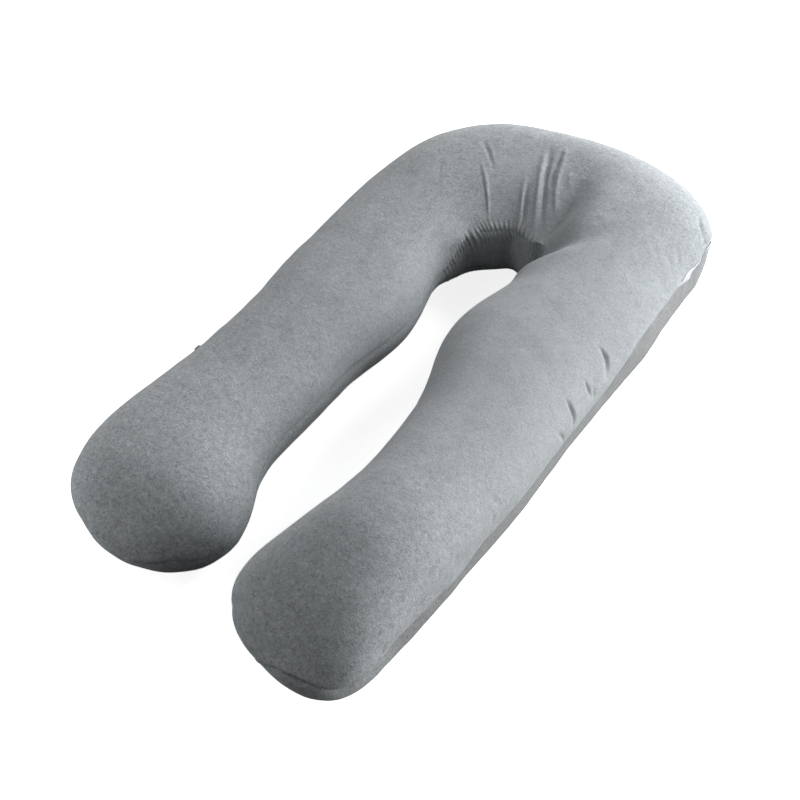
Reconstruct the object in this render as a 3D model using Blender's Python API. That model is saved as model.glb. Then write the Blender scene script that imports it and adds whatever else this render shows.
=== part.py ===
"""U-shaped body pillow in a jersey cover, lying on its flat underside.

Metres, +Z up, origin on the floor at the middle of the footprint. +Y runs from the two arm ends
to the bend. A top and a bottom panel meet in one seam all the way round. A zip shows in that seam
at the outer right corner of the bend, and a small loop label at the outer side of the left arm.
"""

import math

import bpy
import numpy as np

# Cross-sections from the left arm's end, round the bend, to the right arm's end. Each one stands
# upright between a point on the inner outline and a point on the outer outline.
SECTIONS = [
    # inner_x, inner_y, outer_x, outer_y, height, lean
    (0.007, -0.587, -0.234, -0.650, 0.166, 0.080),
    (-0.007, -0.451, -0.317, -0.518, 0.188, 0.000),
    (-0.055, -0.351, -0.325, -0.356, 0.179, 0.000),
    (-0.063, -0.208, -0.316, -0.217, 0.169, -0.040),
    (-0.062, -0.081, -0.317, -0.082, 0.172, -0.070),
    (-0.046, 0.061, -0.334, 0.059, 0.174, -0.015),
    (-0.077, 0.191, -0.343, 0.198, 0.174, 0.075),
    (-0.065, 0.242, -0.349, 0.310, 0.174, 0.070),
    (-0.052, 0.270, -0.335, 0.411, 0.178, -0.030),
    (-0.028, 0.290, -0.300, 0.518, 0.183, -0.070),
    (-0.009, 0.303, -0.202, 0.604, 0.190, -0.095),
    (0.010, 0.314, -0.086, 0.635, 0.197, -0.130),
    (0.036, 0.304, 0.027, 0.643, 0.206, -0.190),
    (0.051, 0.292, 0.131, 0.637, 0.217, -0.145),
    (0.072, 0.313, 0.241, 0.617, 0.213, -0.075),
    (0.094, 0.283, 0.326, 0.540, 0.200, 0.095),
    (0.091, 0.278, 0.342, 0.418, 0.194, 0.190),
    (0.067, 0.240, 0.346, 0.309, 0.193, 0.125),
    (0.070, 0.204, 0.349, 0.200, 0.195, 0.100),
    (0.046, 0.058, 0.347, 0.059, 0.201, 0.070),
    (0.086, -0.081, 0.349, -0.067, 0.203, 0.030),
    (0.114, -0.216, 0.350, -0.220, 0.214, 0.040),
    (0.115, -0.358, 0.346, -0.362, 0.230, 0.000),
    (0.077, -0.487, 0.338, -0.533, 0.222, -0.050),
    (0.057, -0.618, 0.318, -0.660, 0.195, 0.040),
]
UPPER_ROUNDNESS = 2.45    # 2 is an ellipse, more is squarer
LOWER_ROUNDNESS = 2.15
SUNK = 0.93               # a section's middle height over its half-height: the rest lies flat

# The inner side of the bend stands upright, drawn flat by its gathers
WALL_FROM = 0.84
WALL_FULL = 0.95          # upright from here
WALL_EASE = 1.30          # to here
WALL_TO = 1.42
WALL_SHARE = 0.935        # of the section's half-width at which the wall stands
WALL_CORNER = 0.022       # how softly it turns in, as a share of the half-width

# How each arm closes: the lengths over which its width and its height round off, how blunt each
# of them is, and its tip's height
LEFT_END = {
    "length": 0.116,
    "bluntness": 2.3,
    "slope_length": 0.131,
    "slope_bluntness": 2.1,
    "tip_height": 0.092,
}
RIGHT_END = {
    "length": 0.119,
    "bluntness": 2.6,
    "slope_length": 0.250,
    "slope_bluntness": 2.1,
    "tip_height": 0.110,
}

# Height of each side's seam above the floor, by distance along the pillow
OUTER_SEAM = [
    # along, height
    (0.000, 0.111),
    (0.010, 0.112),
    (0.060, 0.104),
    (0.300, 0.095),
    (0.900, 0.095),
    (1.300, 0.100),
    (1.440, 0.112),
    (1.482, 0.128),
    (1.519, 0.133),
    (1.552, 0.143),
    (1.650, 0.146),
    (1.793, 0.126),
    (1.980, 0.110),
    (2.060, 0.103),
    (2.220, 0.088),
    (2.355, 0.089),
    (2.440, 0.090),
    (2.465, 0.099),
    (2.476, 0.113),
    (2.495, 0.125),
    (2.505, 0.127),
    (2.515, 0.124),
]
INNER_SEAM = [
    # along, height
    (0.000, 0.111),
    (0.010, 0.108),
    (0.014, 0.100),
    (0.025, 0.092),
    (0.056, 0.076),
    (0.130, 0.082),
    (0.300, 0.094),
    (0.660, 0.096),
    (0.850, 0.086),
    (0.900, 0.104),
    (0.945, 0.127),
    (1.026, 0.144),
    (1.174, 0.152),
    (1.320, 0.162),
    (1.400, 0.148),
    (1.560, 0.097),
    (2.300, 0.095),
    (2.440, 0.110),
    (2.509, 0.124),
    (2.515, 0.124),
]
SEAM_DEPTH = 0.004        # how far the stitching draws the cover in
SEAM_FLOOR = 0.0015       # half the width of the groove's bottom
SEAM_WALL = 0.007         # width of each side of the groove

# Zip tape in the open seam: two stretches show, with a pinch of cover between them
ZIP_TAPE = [
    # along, half_width
    (1.456, 0.0012),
    (1.464, 0.0026),
    (1.476, 0.0026),
    (1.486, 0.0012),
    (1.494, 0.0012),
    (1.506, 0.0046),
    (1.519, 0.0066),
    (1.533, 0.0036),
    (1.552, 0.0012),
]
ZIP_DEPTH = 0.005
ZIP_THICKNESS = 0.0012
ZIP_SIDE_ROOM = 0.001     # from the tape's edge to the side of the opening

# Loop label: a tab of folded tape sewn into the outer seam of the left arm
LABEL_ALONG = 0.388
LABEL_WIDTH = 0.014
LABEL_REACH = 0.016
LABEL_THICKNESS = 0.0016
LABEL_LIFT = 12.0         # degrees above level

GAP = 0.0004              # between pieces that touch

# Folds on the upper side. Round is 0 degrees at the inner side, 90 at the crown, 180 at the
# outer side. A positive height is a ridge, a negative one a trough.
FOLDS = [
    # along_1, round_1, along_2, round_2, half_width, height
    (1.090, 104, 1.101, 84, 0.007, -0.003),
    (1.078, 90, 1.068, 46, 0.007, 0.003),
    (1.178, 78, 1.212, 42, 0.007, 0.002),
    (1.200, 99, 1.264, 51, 0.007, 0.004),
    (1.208, 99, 1.282, 53, 0.008, -0.005),
    (1.230, 106, 1.298, 67, 0.007, 0.004),
    (1.267, 90, 1.294, 82, 0.006, 0.002),
    (1.446, 144, 1.468, 155, 0.009, -0.004),
    (1.725, 130, 1.754, 156, 0.012, -0.004),
    (1.805, 144, 1.818, 158, 0.011, -0.003),
    (1.870, 138, 1.885, 166, 0.012, -0.004),
    (1.927, 154, 1.916, 169, 0.011, -0.003),
    (2.103, 140, 2.096, 154, 0.012, -0.003),
    (2.220, 154, 2.223, 168, 0.012, -0.003),
]

# Gathers on the inner wall of the bend
GATHERS_FROM = 0.84
GATHERS_TO = 1.42
GATHER_PITCH = 0.030      # along the middle of the pillow, tighter at the inner side
GATHER_HEIGHT = 0.0022
GATHER_REACH = 0.045      # above and below the seam

# Spacing of the cross-sections that make the mesh, and of the points round each one
SPACING = [
    # from, to, step
    (0.110, 0.840, 0.035),
    (0.840, 1.590, 0.010),
    (1.590, 2.010, 0.018),
    (2.010, 2.384, 0.027),
]
END_FRACTIONS = (0.06, 0.18, 0.34, 0.50, 0.65, 0.78, 0.88, 0.95, 0.99)
TOP_POINTS = 12
BOTTOM_POINTS = 8

JERSEY_GREY = (0.29, 0.31, 0.32, 1.0)
TAPE_WHITE = (0.78, 0.80, 0.82, 1.0)
LABEL_GREY = (0.22, 0.22, 0.22, 1.0)


def clear_scene():
    for thing in list(bpy.data.objects):
        bpy.data.objects.remove(thing, do_unlink=True)


def make_material(name, colour, roughness):
    material = bpy.data.materials.new(name)
    material.use_nodes = True
    shader = material.node_tree.nodes["Principled BSDF"]
    shader.inputs["Base Color"].default_value = colour
    shader.inputs["Roughness"].default_value = roughness
    shader.inputs["Metallic"].default_value = 0.0
    return material


def smooth_curve(knots, rows):
    """Natural cubic spline through rows, one at each knot, as a function of distance."""
    knots = np.asarray(knots, float)
    rows = np.asarray(rows, float)
    gaps = np.diff(knots)[:, None]
    slopes = np.diff(rows, axis=0) / gaps
    matrix = np.eye(len(knots))
    bends = np.zeros_like(rows)
    for i in range(1, len(knots) - 1):
        before, after = gaps[i - 1, 0], gaps[i, 0]
        matrix[i, i - 1:i + 2] = before, 2 * (before + after), after
        bends[i] = 3 * (slopes[i] - slopes[i - 1])
    bends = np.linalg.solve(matrix, bends)

    def curve(where):
        i = np.clip(np.searchsorted(knots, where) - 1, 0, len(knots) - 2)
        gap = gaps[i]
        step = (where - knots[i])[..., None]
        linear = slopes[i] - gap * (2 * bends[i] + bends[i + 1]) / 3
        cubic = (bends[i + 1] - bends[i]) / (3 * gap)
        return rows[i] + step * (linear + step * (bends[i] + step * cubic))

    return curve


def section_knots():
    """Distance along the pillow of each row in SECTIONS, over the middles of the rows."""
    rows = np.array(SECTIONS)
    middles = (rows[:, 0:2] + rows[:, 2:4]) / 2
    steps = np.linalg.norm(np.diff(middles, axis=0), axis=1)
    return np.concatenate([[0.0], np.cumsum(steps)])


KNOTS = section_knots()
TOTAL = KNOTS[-1]
section_at = smooth_curve(KNOTS, SECTIONS)


def table_at(table, where):
    """The second column of a two-column table, eased between its rows."""
    places, values = np.array(table).T
    return np.interp(where, places, values)


def rounding(distance, length, bluntness):
    inside = np.clip(distance / length, 0, 1)
    return np.maximum(1 - (1 - inside) ** bluntness, 0) ** (1 / bluntness)


def end_closing(along):
    """Width and height left at each place, 0 at a tip and 1 along the arm, and the tip's height."""
    width = np.ones_like(along)
    height = np.ones_like(along)
    tip_height = np.zeros_like(along)
    for end, distance in ((LEFT_END, along), (RIGHT_END, TOTAL - along)):
        width = np.minimum(width, rounding(distance, end["length"], end["bluntness"]))
        height = np.minimum(height, rounding(distance, end["slope_length"], end["slope_bluntness"]))
        tip_height = np.where(distance < end["slope_length"], end["tip_height"], tip_height)
    return width, height, tip_height


def section_frame(along):
    """Middle, half-width vector, middle height, half-height and lean of the sections at along."""
    values = section_at(along)
    inner, outer = values[..., 0:2], values[..., 2:4]
    width, height, tip_height = end_closing(along)
    half_height = values[..., 4] / (1 + SUNK)
    middle_height = half_height * SUNK
    middle_height = middle_height + (tip_height - middle_height) * (1 - height)
    half_width = (inner - outer) / 2 * width[..., None]
    return (inner + outer) / 2, half_width, middle_height, half_height * height, values[..., 5]


def signed_power(value, power):
    return np.sign(value) * np.abs(value) ** power


def flattened_wall(along, across):
    """The share of the half-width, held back where the inner side of the bend stands upright."""
    window = ease((along - WALL_FROM) / (WALL_FULL - WALL_FROM))
    window = window * ease((WALL_TO - along) / (WALL_TO - WALL_EASE))
    start = WALL_SHARE - WALL_CORNER
    past = np.maximum(across - start, 0)
    bent = start + 2 * WALL_CORNER * (1 - np.exp(-past / (2 * WALL_CORNER)))
    return across + window * (np.where(past > 0, bent, across) - across)


def smooth_surface(along, turn):
    """Points of the filled pillow before seams and folds; turn is in radians from the inner side."""
    along, turn = np.broadcast_arrays(np.asarray(along, float), np.asarray(turn, float))
    middle, half_width, middle_height, half_height, lean = section_frame(along)
    power = np.where(np.sin(turn) > 0, 2 / UPPER_ROUNDNESS, 2 / LOWER_ROUNDNESS)
    across = flattened_wall(along, signed_power(np.cos(turn), power))
    upward = signed_power(np.sin(turn), power) + lean * np.cos(turn) * np.maximum(np.sin(turn), 0)
    flat = middle + half_width * across[..., None]
    height = np.maximum(middle_height + half_height * upward, 0.0)
    return np.concatenate([flat, height[..., None]], axis=-1)


def outward_normals(along, turn):
    small_step, small_turn = 0.0004, 0.004
    before = np.clip(along - small_step, 0, TOTAL)
    after = np.clip(along + small_step, 0, TOTAL)
    lengthwise = smooth_surface(after, turn) - smooth_surface(before, turn)
    roundwise = smooth_surface(along, turn + small_turn) - smooth_surface(along, turn - small_turn)
    normals = np.cross(lengthwise, roundwise)
    return normals / np.maximum(np.linalg.norm(normals, axis=-1, keepdims=True), 1e-12)


def turn_at_height(along, height, outer):
    """The turn at which a section's side reaches a height."""
    _, _, middle_height, half_height, _ = section_frame(along)
    level = np.clip((height - middle_height) / half_height, -0.9, 0.9)
    power = np.where(level > 0, UPPER_ROUNDNESS / 2, LOWER_ROUNDNESS / 2)
    turn = np.arcsin(signed_power(level, power))
    return math.pi - turn if outer else turn


def ease(value):
    value = np.clip(value, 0, 1)
    return value * value * (3 - 2 * value)


def groove_floor(along, outer):
    if not outer:
        return np.full_like(along, SEAM_FLOOR)
    return np.maximum(SEAM_FLOOR, table_at(ZIP_TAPE, along) * in_zip(along) + ZIP_SIDE_ROOM)


def in_zip(along):
    first, last = ZIP_TAPE[0][0], ZIP_TAPE[-1][0]
    return ((along >= first - 1e-6) & (along <= last + 1e-6)).astype(float)


def groove_depth(along, outer):
    if not outer:
        return np.full_like(along, SEAM_DEPTH)
    return SEAM_DEPTH + (ZIP_DEPTH - SEAM_DEPTH) * in_zip(along)


def seam_offset(points, along, outer_side):
    """How far the cover lies in (negative) beside the seam of its own side."""
    offset = np.zeros_like(along)
    for outer, table in ((False, INNER_SEAM), (True, OUTER_SEAM)):
        distance = np.abs(points[..., 2] - table_at(table, along))
        fall = ease((distance - groove_floor(along, outer)) / SEAM_WALL)
        drawn = -groove_depth(along, outer) * (1 - fall)
        offset = np.where(outer_side == outer, drawn, offset)
    return offset


def fold_offset(points):
    """Ridges and troughs, each a soft line between two places on the surface."""
    offset = np.zeros(points.shape[:-1])
    for along_1, round_1, along_2, round_2, half_width, height in FOLDS:
        share = np.linspace(0, 1, 9)
        line_along = along_1 + (along_2 - along_1) * share
        line_turn = np.radians(round_1 + (round_2 - round_1) * share)
        line = smooth_surface(line_along, line_turn)
        fade = np.sin(math.pi * (0.12 + 0.76 * share))
        apart = np.linalg.norm(points[..., None, :] - line, axis=-1)
        strength = fade * np.exp(-((apart / half_width) ** 2))
        offset += height * strength.max(axis=-1)
    return offset


def gather_offset(points, along, outer_side):
    """Fine upright waves where the inner wall of the bend is gathered."""
    reach = np.abs(points[..., 2] - table_at(INNER_SEAM, along)) / GATHER_REACH
    window = ease((along - GATHERS_FROM) / 0.08) * ease((GATHERS_TO - along) / 0.08)
    wave = np.cos(2 * math.pi * (along - GATHERS_FROM) / GATHER_PITCH)
    return GATHER_HEIGHT * wave * window * (1 - ease(reach)) * (outer_side == 0)


def cover_points(along, turn):
    """Points of the cover, with its seams drawn in and its folds raised."""
    points = smooth_surface(along, turn)
    outer_side = (np.cos(turn) < 0).astype(int)
    offset = seam_offset(points, along, outer_side)
    offset = offset + fold_offset(points) + gather_offset(points, along, outer_side)
    offset = np.where(points[..., 2] > SEAM_WALL, offset, 0.0)
    return points + outward_normals(along, turn) * offset[..., None]


def ring_places():
    """Distance along the pillow of each cross-section of the mesh."""
    places = []
    for first, last, step in SPACING:
        count = round((last - first) / step)
        places += list(np.linspace(first, last, count + 1))
    for end, at_start in ((LEFT_END, True), (RIGHT_END, False)):
        power = end["bluntness"]
        for fraction in END_FRACTIONS:
            inside = 1 - (1 - fraction ** power) ** (1 / power)
            distance = inside * end["length"]
            places.append(distance if at_start else TOTAL - distance)
    places += [LABEL_ALONG - LABEL_WIDTH / 2, LABEL_ALONG + LABEL_WIDTH / 2]
    return np.unique(np.round(places, 5))


def ring_turns(along):
    """Turns of the points round each section, close together beside the two seams."""
    _, shrink, _ = end_closing(along)
    turns = {}
    for outer, table in ((False, INNER_SEAM), (True, OUTER_SEAM)):
        seam = table_at(table, along)
        floor = groove_floor(along, outer) * shrink
        wall = floor + SEAM_WALL * shrink
        for name, height in (("seam", 0), ("floor", floor), ("wall", wall)):
            turns[outer, name, 1] = turn_at_height(along, seam + height, outer)
            turns[outer, name, -1] = turn_at_height(along, seam - height, outer)
    share_top = np.arange(1, TOP_POINTS + 1) / (TOP_POINTS + 1)
    share_bottom = np.arange(1, BOTTOM_POINTS + 1) / (BOTTOM_POINTS + 1)
    full_turn = 2 * math.pi
    columns = [turns[False, "seam", 1], turns[False, "floor", 1], turns[False, "wall", 1]]
    top_start, top_end = turns[False, "wall", 1], turns[True, "wall", 1]
    columns += [top_start + (top_end - top_start) * share for share in share_top]
    columns += [turns[True, "wall", 1], turns[True, "floor", 1], turns[True, "seam", 1]]
    columns += [turns[True, "floor", -1], turns[True, "wall", -1]]
    low_start, low_end = turns[True, "wall", -1], turns[False, "wall", -1] + full_turn
    columns += [low_start + (low_end - low_start) * share for share in share_bottom]
    columns += [turns[False, "wall", -1] + full_turn, turns[False, "floor", -1] + full_turn]
    return np.stack(columns, axis=-1)


OUTER_SEAM_POINT = 5 + TOP_POINTS   # place of the outer seam in a ring's points


def make_object(name, vertices, faces, material, sharp_angle):
    mesh = bpy.data.meshes.new(name)
    mesh.from_pydata([tuple(v) for v in vertices], [], faces)
    mesh.validate()
    mesh.update()
    mesh.shade_smooth()
    mesh.set_sharp_from_angle(angle=math.radians(sharp_angle))
    mesh.materials.append(material)
    thing = bpy.data.objects.new(name, mesh)
    bpy.context.scene.collection.objects.link(thing)
    return thing


def make_pillow(rings, material):
    """One closed skin: a strip of faces between rings and a fan at each tip."""
    ring_count, point_count = rings.shape[:2]
    vertices = list(rings.reshape(-1, 3))
    faces = []
    for i in range(ring_count - 1):
        for j in range(point_count):
            k = (j + 1) % point_count
            near, far = i * point_count, (i + 1) * point_count
            faces.append((near + j, far + j, far + k, near + k))
    for at_start in (True, False):
        ring = 0 if at_start else ring_count - 1
        tip = len(vertices)
        vertices.append(rings[ring][[0, OUTER_SEAM_POINT]].mean(axis=0))
        for j in range(point_count):
            k = (j + 1) % point_count
            pair = (ring * point_count + j, ring * point_count + k)
            faces.append((tip, pair[0], pair[1]) if at_start else (tip, pair[1], pair[0]))
    return make_object("pillow", vertices, faces, material, 180)


def make_zip_tape(places, rings, material):
    """White tape that lies on the floor of the open seam, a hair's gap off it."""
    inside = np.flatnonzero(in_zip(places))
    seam = OUTER_SEAM_POINT
    near_layer, far_layer = [], []
    for i in inside:
        outward = outward_normals(places[i:i + 1], ring_turns(places[i:i + 1])[:, seam])[0]
        share = table_at(ZIP_TAPE, places[i]) / groove_floor(places[i:i + 1], True)[0]
        for side in (-1, 0, 1):
            point = rings[i, seam] + (rings[i, seam + side] - rings[i, seam]) * share
            near_layer.append(point + outward * GAP)
            far_layer.append(point + outward * (GAP + ZIP_THICKNESS))
    rows = len(inside)
    far = rows * 3
    faces = []
    for i in range(rows - 1):
        for j in range(2):
            a, b = i * 3 + j, (i + 1) * 3 + j
            faces.append((a, a + 1, b + 1, b))
            faces.append((far + a, far + b, far + b + 1, far + a + 1))
        a, b = i * 3, (i + 1) * 3
        faces.append((a, b, far + b, far + a))
        faces.append((a + 2, far + a + 2, far + b + 2, b + 2))
    for start, turned in ((0, False), ((rows - 1) * 3, True)):
        for j in range(2):
            a = start + j
            face = (a, far + a, far + a + 1, a + 1)
            faces.append(face[::-1] if turned else face)
    return make_object("zip_tape", near_layer + far_layer, faces, material, 40)


def make_side_label(places, rings, material):
    """Folded tab that stands out of the outer seam, with its root in the groove."""
    corners = []
    for place in (LABEL_ALONG - LABEL_WIDTH / 2, LABEL_ALONG + LABEL_WIDTH / 2):
        i = int(np.argmin(np.abs(places - place)))
        corners.append(rings[i, OUTER_SEAM_POINT])
    lengthwise = corners[1] - corners[0]
    outward = np.cross([0.0, 0.0, 1.0], lengthwise)
    outward /= np.linalg.norm(outward)
    lift = math.radians(LABEL_LIFT)
    reach = outward * math.cos(lift) + np.array([0.0, 0.0, math.sin(lift)])
    thick = np.cross(reach, lengthwise)
    thick /= np.linalg.norm(thick)
    half = LABEL_THICKNESS / 2
    profile = [(GAP, half), (GAP, -half)]
    for i in range(7):
        angle = math.radians(-90 + 30 * i)
        profile.append((LABEL_REACH - half + half * math.cos(angle), half * math.sin(angle)))
    vertices = []
    for corner in corners:
        vertices += [corner + reach * out + thick * up for out, up in profile]
    count = len(profile)
    faces = [tuple(range(count)), tuple(range(2 * count - 1, count - 1, -1))]
    for j in range(count):
        k = (j + 1) % count
        faces.append((j, count + j, count + k, k))
    return make_object("side_label", vertices, faces, material, 40)


def main():
    clear_scene()
    places = ring_places()
    turns = ring_turns(places)
    rings = cover_points(np.repeat(places[:, None], turns.shape[1], axis=1), turns)
    make_pillow(rings, make_material("jersey_cotton", JERSEY_GREY, 0.95))
    make_zip_tape(places, rings, make_material("zip_tape_nylon", TAPE_WHITE, 0.5))
    make_side_label(places, rings, make_material("label_tape", LABEL_GREY, 0.8))


main()
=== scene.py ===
# Body pillow: the stuffed jersey cover, the zip that shows in its seam, and the loop label.
import math

import bmesh
import bpy
import numpy as np
from mathutils import Matrix, Vector


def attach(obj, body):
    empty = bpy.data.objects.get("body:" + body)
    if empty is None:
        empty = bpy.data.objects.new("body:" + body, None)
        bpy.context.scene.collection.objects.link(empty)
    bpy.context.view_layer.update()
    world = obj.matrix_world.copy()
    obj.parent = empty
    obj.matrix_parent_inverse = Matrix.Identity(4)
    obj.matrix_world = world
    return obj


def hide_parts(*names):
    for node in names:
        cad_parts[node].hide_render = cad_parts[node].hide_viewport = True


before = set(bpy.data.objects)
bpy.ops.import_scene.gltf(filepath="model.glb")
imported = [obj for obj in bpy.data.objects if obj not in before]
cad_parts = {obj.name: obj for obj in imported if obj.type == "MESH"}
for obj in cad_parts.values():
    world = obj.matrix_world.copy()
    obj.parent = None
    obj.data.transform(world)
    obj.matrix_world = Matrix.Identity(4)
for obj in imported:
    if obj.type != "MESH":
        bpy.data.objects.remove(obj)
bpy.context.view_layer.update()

pillowForm = {
    "sections": [   # upright cross-sections, from the left arm's end round the bend to the right arm's
        # innerX, innerY, outerX, outerY, height, lean towards the inner side
        (0.007, -0.587, -0.234, -0.650, 0.166, 0.080),
        (-0.007, -0.451, -0.317, -0.518, 0.188, 0.000),
        (-0.055, -0.351, -0.325, -0.356, 0.179, 0.000),
        (-0.063, -0.208, -0.316, -0.217, 0.169, -0.040),
        (-0.062, -0.081, -0.317, -0.082, 0.172, -0.070),
        (-0.046, 0.061, -0.334, 0.059, 0.174, -0.015),
        (-0.077, 0.191, -0.343, 0.198, 0.174, 0.115),
        (-0.065, 0.242, -0.349, 0.310, 0.174, 0.110),
        (-0.052, 0.270, -0.335, 0.411, 0.178, -0.030),
        (-0.028, 0.290, -0.300, 0.518, 0.183, -0.070),
        (-0.009, 0.303, -0.202, 0.604, 0.190, -0.125),
        (0.010, 0.314, -0.086, 0.635, 0.197, -0.160),
        (0.036, 0.304, 0.027, 0.643, 0.206, -0.220),
        (0.057, 0.297, 0.131, 0.637, 0.217, -0.145),
        (0.077, 0.293, 0.259, 0.609, 0.213, 0.010),
        (0.090, 0.283, 0.318, 0.551, 0.200, 0.031),
        (0.091, 0.266, 0.334, 0.430, 0.194, 0.250),
        (0.067, 0.240, 0.340, 0.305, 0.193, 0.185),
        (0.070, 0.204, 0.342, 0.203, 0.195, 0.170),
        (0.046, 0.058, 0.339, 0.060, 0.201, 0.135),
        (0.086, -0.081, 0.342, -0.067, 0.203, 0.070),
        (0.114, -0.216, 0.343, -0.225, 0.214, 0.085),
        (0.115, -0.358, 0.339, -0.360, 0.230, 0.030),
        (0.077, -0.487, 0.330, -0.529, 0.222, -0.050),
        (0.057, -0.618, 0.314, -0.659, 0.195, 0.090),
    ],
    "roundness": {"upper": 2.45, "lower": 2.15},   # 2 is an ellipse, more is squarer
    "sunk": 0.93,                # a section's middle height over its half-height
    "bendWall": {   # the inner side of the bend stands upright
        "from": 0.84, "full": 0.95, "ease": 1.39, "to": 1.52,   # along the pillow
        "share": 0.900, "corner": 0.010, "reach": 0.935,        # of the section's half-width
    },
    "outerWall": {   # and so does the outer side of the right arm
        "from": 1.40, "full": 1.50, "ease": 2.44, "to": 2.56,
        "share": 0.935, "corner": 0.010, "reach": 1.0,
    },
    "leftEnd": {
        "length": 0.116, "bluntness": 2.3,             # how the width rounds off
        "slopeLength": 0.131, "slopeBluntness": 2.1,   # how the height rounds off
        "tipHeight": 0.083,
    },
    "rightEnd": {
        "length": 0.119, "bluntness": 2.6,
        "slopeLength": 0.250, "slopeBluntness": 2.1,
        "tipHeight": 0.103,
    },
    "ringSteps": [
        # from, to, step
        (0.116, 0.600, 0.0062),
        (0.600, 0.840, 0.0050),
        (0.840, 1.420, 0.0034),
        (1.420, 1.600, 0.0026),
        (1.600, 1.700, 0.0040),
        (1.700, 1.950, 0.0026),
        (1.950, 2.390, 0.0046),
    ],
    "endRings": 34,
    "tipRing": 0.4,              # of a step from the tip, the ring that closes on it
    "edgeSteps": (0.0007, 0.0016, 0.0027, 0.0041, 0.0060, 0.0085, 0.0118, 0.0160, 0.0215),
    "fullPanel": 0.30,           # on a panel shorter than this the edge steps shrink with it
    "upperPoints": 72,           # between the two edges of the upper panel
    "lowerPoints": 32,
    "sweepSteps": 901,           # places round a section at which its outline is measured
    "softSteps": 9,              # places over which the corner of a table is averaged
    "normalSteps": (0.0004, 0.004),   # along and round, to work out which way the surface faces
    "seamLimit": 0.9,            # of the half-height: no seam lies further up or down than this
}


def smoothCurve(knots, rows):   # natural cubic spline
    knots = np.asarray(knots, float)
    rows = np.asarray(rows, float)
    gaps = np.diff(knots)[:, None]
    slopes = np.diff(rows, axis=0) / gaps
    matrix = np.eye(len(knots))
    bends = np.zeros_like(rows)
    for i in range(1, len(knots) - 1):
        before, after = gaps[i - 1, 0], gaps[i, 0]
        matrix[i, i - 1:i + 2] = before, 2 * (before + after), after
        bends[i] = 3 * (slopes[i] - slopes[i - 1])
    bends = np.linalg.solve(matrix, bends)

    def curve(where):
        i = np.clip(np.searchsorted(knots, where) - 1, 0, len(knots) - 2)
        gap = gaps[i]
        step = (where - knots[i])[..., None]
        linear = slopes[i] - gap * (2 * bends[i] + bends[i + 1]) / 3
        cubic = (bends[i + 1] - bends[i]) / (3 * gap)
        return rows[i] + step * (linear + step * (bends[i] + step * cubic))

    return curve


def sectionKnots():   # distance along the pillow of each section, over the sections' middles
    rows = np.array(pillowForm["sections"])
    middles = (rows[:, 0:2] + rows[:, 2:4]) / 2
    steps = np.linalg.norm(np.diff(middles, axis=0), axis=1)
    return np.concatenate([[0.0], np.cumsum(steps)])


knots = sectionKnots()
totalLength = knots[-1]
sectionAt = smoothCurve(knots, pillowForm["sections"])


def softTable(table, where, soft):   # straight between the table's places, with its corners rounded
    places, values = np.array(table).T
    shifts = np.linspace(-soft, soft, pillowForm["softSteps"])
    return np.mean([np.interp(where + shift, places, values) for shift in shifts], axis=0)


def ease(value):
    value = np.clip(value, 0, 1)
    return value * value * (3 - 2 * value)


def endClosing(along):   # share of the width and of the height that each place has near an end
    width = np.ones_like(along)
    height = np.ones_like(along)
    tipHeight = np.zeros_like(along)
    fromEnds = ((pillowForm["leftEnd"], along), (pillowForm["rightEnd"], totalLength - along))
    for end, distance in fromEnds:
        width = np.minimum(width, rounding(distance, end["length"], end["bluntness"]))
        height = np.minimum(height, rounding(distance, end["slopeLength"], end["slopeBluntness"]))
        tipHeight = np.where(distance < end["slopeLength"], end["tipHeight"], tipHeight)
    return width, height, tipHeight


def rounding(distance, length, bluntness):
    inside = np.clip(distance / length, 0, 1)
    return np.maximum(1 - (1 - inside) ** bluntness, 0) ** (1 / bluntness)


def sectionFrame(along):   # middle, half-width vector, middle height, half-height and lean
    values = sectionAt(along)
    inner, outer = values[..., 0:2], values[..., 2:4]
    width, height, tipHeight = endClosing(along)
    halfHeight = values[..., 4] / (1 + pillowForm["sunk"])
    middleHeight = halfHeight * pillowForm["sunk"]
    middleHeight = middleHeight + (tipHeight - middleHeight) * (1 - height)
    halfWidth = (inner - outer) / 2 * width[..., None]
    return (inner + outer) / 2, halfWidth, middleHeight, halfHeight * height, values[..., 5]


def signedPower(value, power):
    return np.sign(value) * np.abs(value) ** power


def heldBack(along, across, wall):   # the side stands upright between two places along the pillow
    window = ease((along - wall["from"]) / (wall["full"] - wall["from"]))
    window = window * ease((wall["to"] - along) / (wall["to"] - wall["ease"]))
    start = wall["share"] - wall["corner"]
    past = np.maximum(across - start, 0)
    bent = start + 2 * wall["corner"] * (1 - np.exp(-past / (2 * wall["corner"])))
    bent = np.where(past > 0, bent, across)
    return across + window * (bent * wall["reach"] / wall["share"] - across)


def uprightSides(along, across):
    inner = heldBack(along, across, pillowForm["bendWall"])
    outer = heldBack(along, -across, pillowForm["outerWall"])
    return np.where(across > 0, inner, -outer)


def filledSurface(along, turn):   # the filled pillow before seams and folds
    along, turn = np.broadcast_arrays(np.asarray(along, float), np.asarray(turn, float))
    middle, halfWidth, middleHeight, halfHeight, lean = sectionFrame(along)
    roundness = pillowForm["roundness"]
    power = np.where(np.sin(turn) > 0, 2 / roundness["upper"], 2 / roundness["lower"])
    across = uprightSides(along, signedPower(np.cos(turn), power))
    upward = signedPower(np.sin(turn), power)
    flat = middle + halfWidth * across[..., None]
    upward = upward + lean * np.cos(turn) * np.maximum(np.sin(turn), 0)
    height = np.maximum(middleHeight + halfHeight * upward, 0.0)
    return np.concatenate([flat, height[..., None]], axis=-1)


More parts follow.
